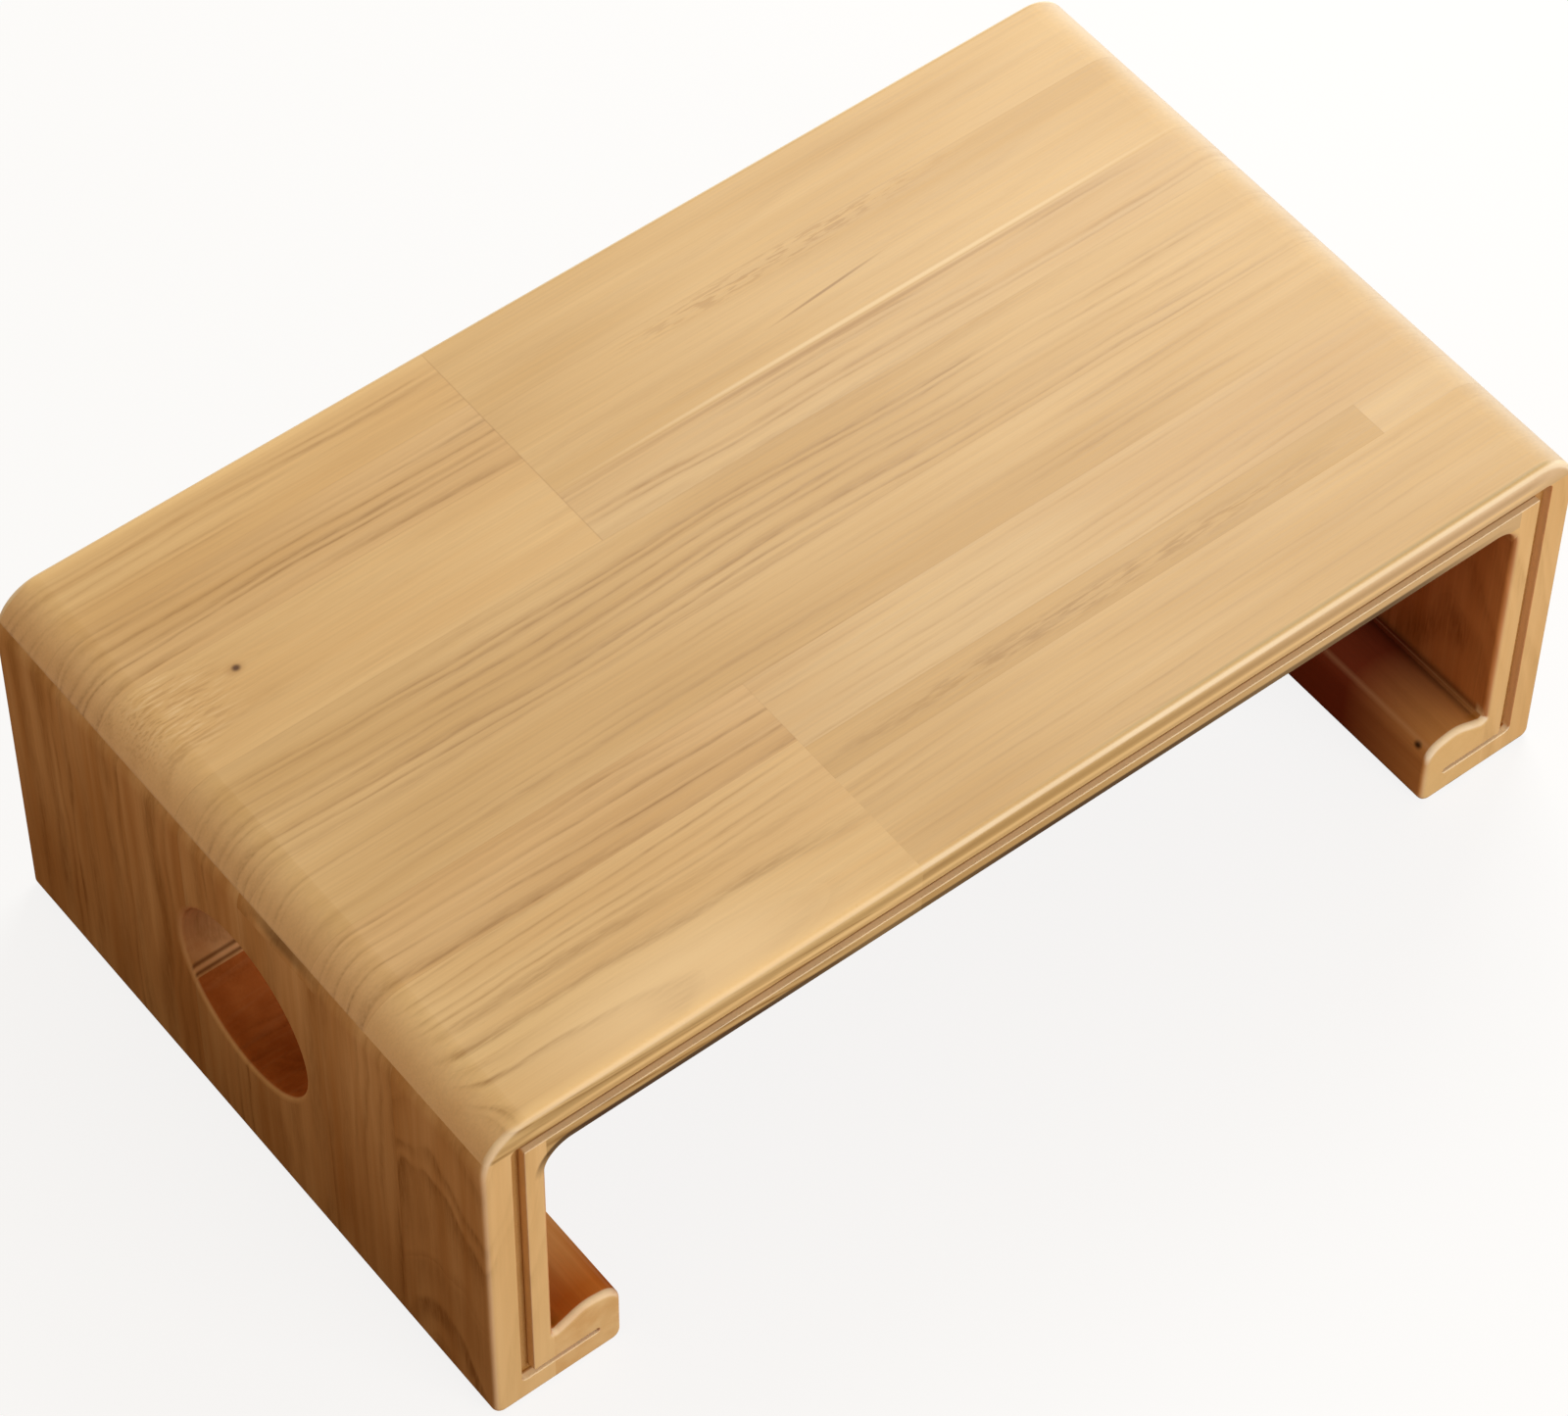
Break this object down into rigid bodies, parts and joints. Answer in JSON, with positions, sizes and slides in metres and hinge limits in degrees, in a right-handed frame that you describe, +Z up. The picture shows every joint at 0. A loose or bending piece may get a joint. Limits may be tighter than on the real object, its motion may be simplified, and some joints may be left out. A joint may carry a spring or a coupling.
{
  "type": "chabudai",
  "caption": "Low wooden tea table in one C-shaped sweep: staved top, end panels with round hand openings, a groove along the edges and feet that curl inward.",
  "frame": {"origin": "on the floor, under the middle of the table", "axes": "+X along the table's length, -Y is the front open side, +Z up"},
  "size_m": [0.9, 0.535, 0.315],
  "materials": {
    "top_wood": "oiled satin",
    "panel_wood": "oiled satin",
    "foot_wood": "oiled satin",
    "dowel_wood": "raw"
  },
  "bodies": {
    "root": {"left_corner_dowels": "dowel_wood", "left_corner_strip": "foot_wood", "left_foot_dowels": "dowel_wood", "left_foot_rail": "foot_wood", "left_panel_board_1": "panel_wood", "left_panel_board_2": "panel_wood", "left_panel_board_3": "panel_wood", "left_panel_board_3_short_block": "panel_wood", "left_panel_board_4_lower": "panel_wood", "left_panel_board_4_upper": "panel_wood", "left_panel_board_5": "panel_wood", "left_panel_board_6": "panel_wood", "left_panel_board_7": "panel_wood", "right_corner_dowels": "dowel_wood", "right_corner_strip": "foot_wood", "right_foot_dowels": "dowel_wood", "right_foot_rail": "foot_wood", "right_panel_board_1": "panel_wood", "right_panel_board_2": "panel_wood", "right_panel_board_3": "panel_wood", "right_panel_board_4_lower": "panel_wood", "right_panel_board_4_upper": "panel_wood", "right_panel_board_5": "panel_wood", "right_panel_board_6": "panel_wood", "right_panel_board_7": "panel_wood", "top_stave_left_1": "top_wood", "top_stave_left_2": "top_wood", "top_stave_left_3": "top_wood", "top_stave_left_4": "top_wood", "top_stave_left_5": "top_wood", "top_stave_left_6": "top_wood", "top_stave_long_1": "top_wood", "top_stave_long_2": "top_wood", "top_stave_right_1": "top_wood", "top_stave_right_2": "top_wood", "top_stave_right_2_end": "top_wood", "top_stave_right_3": "top_wood", "top_stave_right_4": "top_wood", "top_stave_right_5": "top_wood", "top_stave_right_6": "top_wood"}
  },
  "joints": []
}
